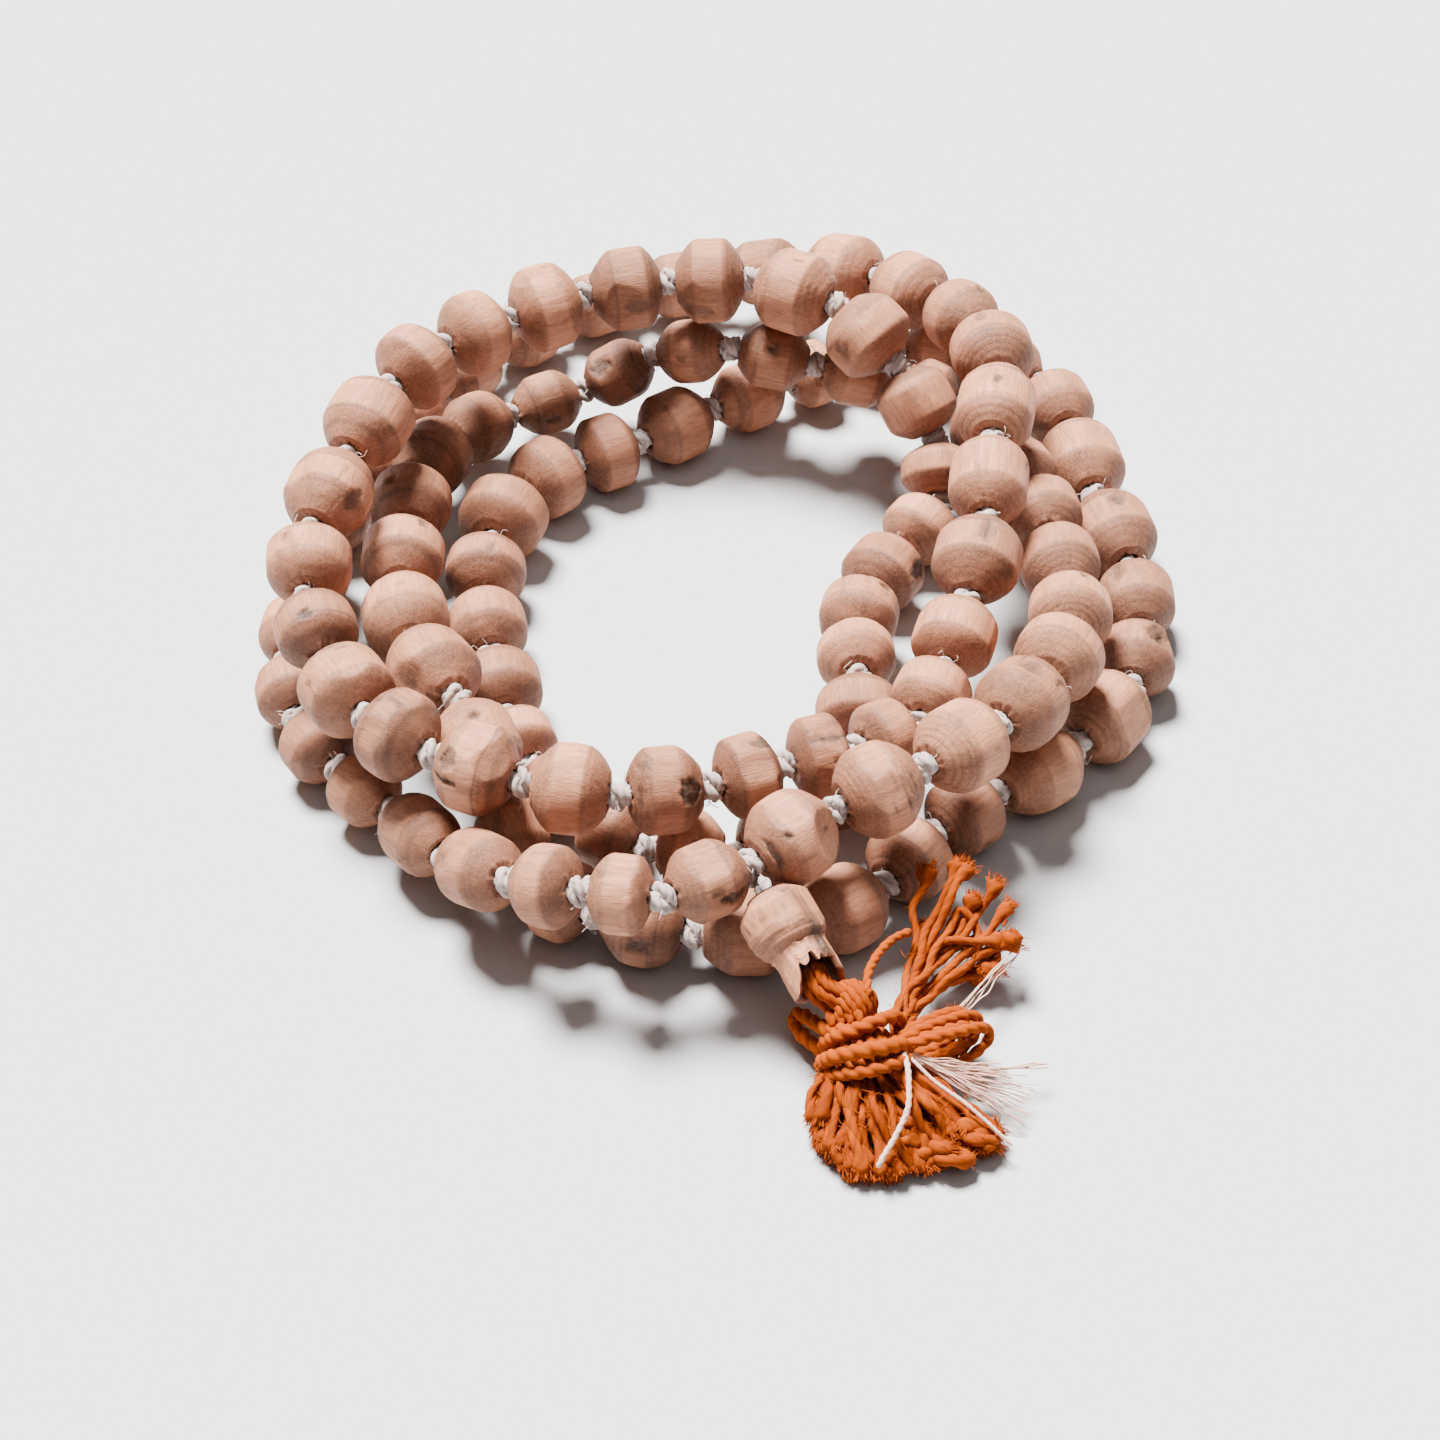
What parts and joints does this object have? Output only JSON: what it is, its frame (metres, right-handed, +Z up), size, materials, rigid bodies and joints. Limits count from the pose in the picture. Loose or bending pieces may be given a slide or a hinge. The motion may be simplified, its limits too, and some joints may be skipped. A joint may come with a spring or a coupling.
{
  "type": "mala prayer beads",
  "caption": "Turned wooden mala beads on a knotted cotton cord, with a stemmed guru bead and an orange yarn tassel, laid in a piled coil.",
  "frame": {"origin": "bottom centre of the whole pile's bounding box, on the surface it lies on", "axes": "+Z up off that surface; +Y to the back of the pile, away from the tassel; +X to the right seen from the tassel"},
  "size_m": [0.088, 0.127, 0.023],
  "materials": {
    "bead_wood": "dry turned wood, unpolished, with darker end grain",
    "guru_wood": "dry turned wood, unpolished, with a bark streak",
    "cord_cotton": "twisted off-white cotton",
    "tassel_yarn": "soft spun yarn, saturated orange",
    "thread_pale": "fine pale pink thread"
  },
  "bodies": {
    "root": {"knotted_cord": "cord_cotton", "guru_knot": "cord_cotton", "beads_back_inner": "bead_wood", "beads_left_inner": "bead_wood", "beads_front_low": "bead_wood", "beads_right_outer": "bead_wood", "beads_left_floor": "bead_wood", "beads_right_inner": "bead_wood", "beads_back_outer": "bead_wood", "beads_left_outer": "bead_wood"},
    "bead_001": {"bead_001": "bead_wood"},
    "bead_002": {"bead_002": "bead_wood"},
    "bead_003": {"bead_003": "bead_wood"},
    "bead_004": {"bead_004": "bead_wood"},
    "bead_005": {"bead_005": "bead_wood"},
    "bead_006": {"bead_006": "bead_wood"},
    "bead_007": {"bead_007": "bead_wood"},
    "bead_008": {"bead_008": "bead_wood"},
    "bead_064": {"bead_064": "bead_wood"},
    "bead_065": {"bead_065": "bead_wood"},
    "bead_066": {"bead_066": "bead_wood"},
    "bead_067": {"bead_067": "bead_wood"},
    "bead_068": {"bead_068": "bead_wood"},
    "bead_069": {"bead_069": "bead_wood"},
    "bead_070": {"bead_070": "bead_wood"},
    "bead_071": {"bead_071": "bead_wood"},
    "bead_072": {"bead_072": "bead_wood"},
    "bead_073": {"bead_073": "bead_wood"},
    "bead_074": {"bead_074": "bead_wood"},
    "bead_075": {"bead_075": "bead_wood"},
    "bead_076": {"bead_076": "bead_wood"},
    "bead_077": {"bead_077": "bead_wood"},
    "bead_078": {"bead_078": "bead_wood"},
    "bead_079": {"bead_079": "bead_wood"},
    "bead_080": {"bead_080": "bead_wood"},
    "bead_081": {"bead_081": "bead_wood"},
    "bead_082": {"bead_082": "bead_wood"},
    "bead_083": {"bead_083": "bead_wood"},
    "bead_084": {"bead_084": "bead_wood"},
    "bead_085": {"bead_085": "bead_wood"},
    "bead_086": {"bead_086": "bead_wood"},
    "bead_087": {"bead_087": "bead_wood"},
    "bead_088": {"bead_088": "bead_wood"},
    "bead_089": {"bead_089": "bead_wood"},
    "bead_090": {"bead_090": "bead_wood"},
    "bead_091": {"bead_091": "bead_wood"},
    "bead_105": {"bead_105": "bead_wood"},
    "bead_106": {"bead_106": "bead_wood"},
    "bead_107": {"bead_107": "bead_wood"},
    "bead_108": {"bead_108": "bead_wood"},
    "guru": {"guru_bead": "guru_wood", "guru_cord_ends": "cord_cotton"},
    "tassel_head": {"tassel_head_knot": "tassel_yarn"},
    "tassel": {"tassel_wrap": "tassel_yarn", "tassel_bow_left": "tassel_yarn", "tassel_bow_right": "tassel_yarn", "tassel_upper_tuft": "tassel_yarn", "tassel_skirt": "tassel_yarn", "tassel_pale_threads": "thread_pale"}
  },
  "joints": [
    {"name": "guru_lift", "type": "hinge", "parent": "root", "child": "guru", "pos_m": [0.0025, -0.03854, 0.01238], "axis": [-0.8448, -0.5285, -0.0838], "range_deg": [0, 45]},
    {"name": "tassel_swing", "type": "hinge", "parent": "guru", "child": "tassel_head", "pos_m": [0.00845, -0.04824, 0.00746], "axis": [0, 0, 1], "range_deg": [-30, 0]},
    {"name": "tassel_lift", "type": "hinge", "parent": "tassel_head", "child": "tassel", "pos_m": [0.0103, -0.0491, 0.0056], "axis": [-0.3746, -0.9272, 0], "range_deg": [0, 25]},
    {"name": "bead_001_spin", "type": "hinge", "parent": "root", "child": "bead_001", "pos_m": [0.00611, -0.0359, 0.01308], "axis": [0.7973, 0.5833, 0.1553], "continuous": true},
    {"name": "bead_002_spin", "type": "hinge", "parent": "root", "child": "bead_002", "pos_m": [0.01351, -0.03133, 0.01439], "axis": [0.8826, 0.4485, 0.1411], "continuous": true},
    {"name": "bead_003_spin", "type": "hinge", "parent": "root", "child": "bead_003", "pos_m": [0.02079, -0.02606, 0.0144], "axis": [0.7146, 0.6886, -0.1234], "continuous": true},
    {"name": "bead_004_spin", "type": "hinge", "parent": "root", "child": "bead_004", "pos_m": [0.02674, -0.0188, 0.01303], "axis": [0.5296, 0.8322, -0.1645], "continuous": true},
    {"name": "bead_005_spin", "type": "hinge", "parent": "root", "child": "bead_005", "pos_m": [0.03076, -0.01103, 0.0115], "axis": [0.3622, 0.9147, -0.1792], "continuous": true},
    {"name": "bead_006_spin", "type": "hinge", "parent": "root", "child": "bead_006", "pos_m": [0.03261, -0.00292, 0.00997], "axis": [0.0754, 0.9808, -0.1796], "continuous": true},
    {"name": "bead_007_spin", "type": "hinge", "parent": "root", "child": "bead_007", "pos_m": [0.03248, 0.00591, 0.00872], "axis": [-0.0983, 0.9899, -0.1017], "continuous": true},
    {"name": "bead_008_spin", "type": "hinge", "parent": "root", "child": "bead_008", "pos_m": [0.03159, 0.01474, 0.00772], "axis": [-0.1009, 0.9873, -0.1225], "continuous": true},
    {"name": "bead_064_spin", "type": "hinge", "parent": "root", "child": "bead_064", "pos_m": [0.00753, 0.03717, 0.01877], "axis": [-0.8902, 0.4549, 0.0229], "continuous": true},
    {"name": "bead_065_spin", "type": "hinge", "parent": "root", "child": "bead_065", "pos_m": [-0.00101, 0.03949, 0.01856], "axis": [-0.9967, 0.0365, -0.073], "continuous": true},
    {"name": "bead_066_spin", "type": "hinge", "parent": "root", "child": "bead_066", "pos_m": [-0.00956, 0.0389, 0.018], "axis": [-0.9836, -0.1711, -0.057], "continuous": true},
    {"name": "bead_067_spin", "type": "hinge", "parent": "root", "child": "bead_067", "pos_m": [-0.01764, 0.03639, 0.01745], "axis": [-0.9031, -0.4235, -0.0712], "continuous": true},
    {"name": "bead_068_spin", "type": "hinge", "parent": "root", "child": "bead_068", "pos_m": [-0.02455, 0.03196, 0.01738], "axis": [-0.7625, -0.6449, 0.0531], "continuous": true},
    {"name": "bead_069_spin", "type": "hinge", "parent": "root", "child": "bead_069", "pos_m": [-0.03004, 0.02614, 0.01736], "axis": [-0.5958, -0.801, -0.0592], "continuous": true},
    {"name": "bead_070_spin", "type": "hinge", "parent": "root", "child": "bead_070", "pos_m": [-0.03416, 0.01834, 0.01628], "axis": [-0.3499, -0.9215, -0.1687], "continuous": true},
    {"name": "bead_071_spin", "type": "hinge", "parent": "root", "child": "bead_071", "pos_m": [-0.03711, 0.00877, 0.01497], "axis": [-0.2337, -0.968, -0.091], "continuous": true},
    {"name": "bead_072_spin", "type": "hinge", "parent": "root", "child": "bead_072", "pos_m": [-0.03817, -0.00058, 0.01398], "axis": [0.032, -0.9926, -0.1174], "continuous": true},
    {"name": "bead_073_spin", "type": "hinge", "parent": "root", "child": "bead_073", "pos_m": [-0.03675, -0.00893, 0.01305], "axis": [0.3046, -0.9472, -0.1003], "continuous": true},
    {"name": "bead_074_spin", "type": "hinge", "parent": "root", "child": "bead_074", "pos_m": [-0.03337, -0.01676, 0.01281], "axis": [0.4792, -0.8767, 0.0426], "continuous": true},
    {"name": "bead_075_spin", "type": "hinge", "parent": "root", "child": "bead_075", "pos_m": [-0.02809, -0.02326, 0.01317], "axis": [0.7682, -0.6389, 0.0418], "continuous": true},
    {"name": "bead_076_spin", "type": "hinge", "parent": "root", "child": "bead_076", "pos_m": [-0.02099, -0.02737, 0.01305], "axis": [0.9334, -0.3519, -0.0704], "continuous": true},
    {"name": "bead_077_spin", "type": "hinge", "parent": "root", "child": "bead_077", "pos_m": [-0.01288, -0.02938, 0.0125], "axis": [0.9903, -0.1256, -0.0591], "continuous": true},
    {"name": "bead_078_spin", "type": "hinge", "parent": "root", "child": "bead_078", "pos_m": [-0.00476, -0.02908, 0.01198], "axis": [0.9763, 0.2061, -0.0661], "continuous": true},
    {"name": "bead_079_spin", "type": "hinge", "parent": "root", "child": "bead_079", "pos_m": [0.00235, -0.02678, 0.01161], "axis": [0.9078, 0.4183, -0.0311], "continuous": true},
    {"name": "bead_080_spin", "type": "hinge", "parent": "root", "child": "bead_080", "pos_m": [0.00868, -0.02418, 0.01139], "axis": [0.94, 0.3397, -0.0326], "continuous": true},
    {"name": "bead_081_spin", "type": "hinge", "parent": "root", "child": "bead_081", "pos_m": [0.01467, -0.02116, 0.01097], "axis": [0.8286, 0.5524, -0.0906], "continuous": true},
    {"name": "bead_082_spin", "type": "hinge", "parent": "root", "child": "bead_082", "pos_m": [0.01896, -0.01557, 0.01077], "axis": [0.3559, 0.9341, 0.0283], "continuous": true},
    {"name": "bead_083_spin", "type": "hinge", "parent": "root", "child": "bead_083", "pos_m": [0.02155, -0.00788, 0.01153], "axis": [0.2834, 0.9471, 0.1507], "continuous": true},
    {"name": "bead_084_spin", "type": "hinge", "parent": "root", "child": "bead_084", "pos_m": [0.02395, 0.00102, 0.01311], "axis": [0.234, 0.9547, 0.1841], "continuous": true},
    {"name": "bead_085_spin", "type": "hinge", "parent": "root", "child": "bead_085", "pos_m": [0.02569, 0.01096, 0.01484], "axis": [0.1071, 0.9821, 0.1548], "continuous": true},
    {"name": "bead_086_spin", "type": "hinge", "parent": "root", "child": "bead_086", "pos_m": [0.02701, 0.02144, 0.0158], "axis": [0.1422, 0.9895, 0.0261], "continuous": true},
    {"name": "bead_087_spin", "type": "hinge", "parent": "root", "child": "bead_087", "pos_m": [0.02733, 0.03156, 0.01525], "axis": [-0.0931, 0.9856, -0.1413], "continuous": true},
    {"name": "bead_088_spin", "type": "hinge", "parent": "root", "child": "bead_088", "pos_m": [0.02479, 0.04018, 0.01365], "axis": [-0.4699, 0.8586, -0.2049], "continuous": true},
    {"name": "bead_089_spin", "type": "hinge", "parent": "root", "child": "bead_089", "pos_m": [0.01985, 0.04763, 0.01194], "axis": [-0.6073, 0.7757, -0.1716], "continuous": true},
    {"name": "bead_090_spin", "type": "hinge", "parent": "root", "child": "bead_090", "pos_m": [0.01321, 0.05442, 0.00971], "axis": [-0.739, 0.6132, -0.279], "continuous": true},
    {"name": "bead_091_spin", "type": "hinge", "parent": "root", "child": "bead_091", "pos_m": [0.00487, 0.05896, 0.00666], "axis": [-0.9052, 0.2781, -0.3213], "continuous": true},
    {"name": "bead_105_spin", "type": "hinge", "parent": "root", "child": "bead_105", "pos_m": [-0.0208, -0.03461, 0.008], "axis": [0.6112, -0.6872, 0.3927], "continuous": true},
    {"name": "bead_106_spin", "type": "hinge", "parent": "root", "child": "bead_106", "pos_m": [-0.01467, -0.03957, 0.01094], "axis": [0.8588, -0.4315, 0.2762], "continuous": true},
    {"name": "bead_107_spin", "type": "hinge", "parent": "root", "child": "bead_107", "pos_m": [-0.00823, -0.04176, 0.01211], "axis": [0.9812, -0.1863, 0.05], "continuous": true},
    {"name": "bead_108_spin", "type": "hinge", "parent": "root", "child": "bead_108", "pos_m": [-0.00111, -0.04045, 0.01233], "axis": [0.8835, 0.4682, 0.0113], "continuous": true}
  ]
}
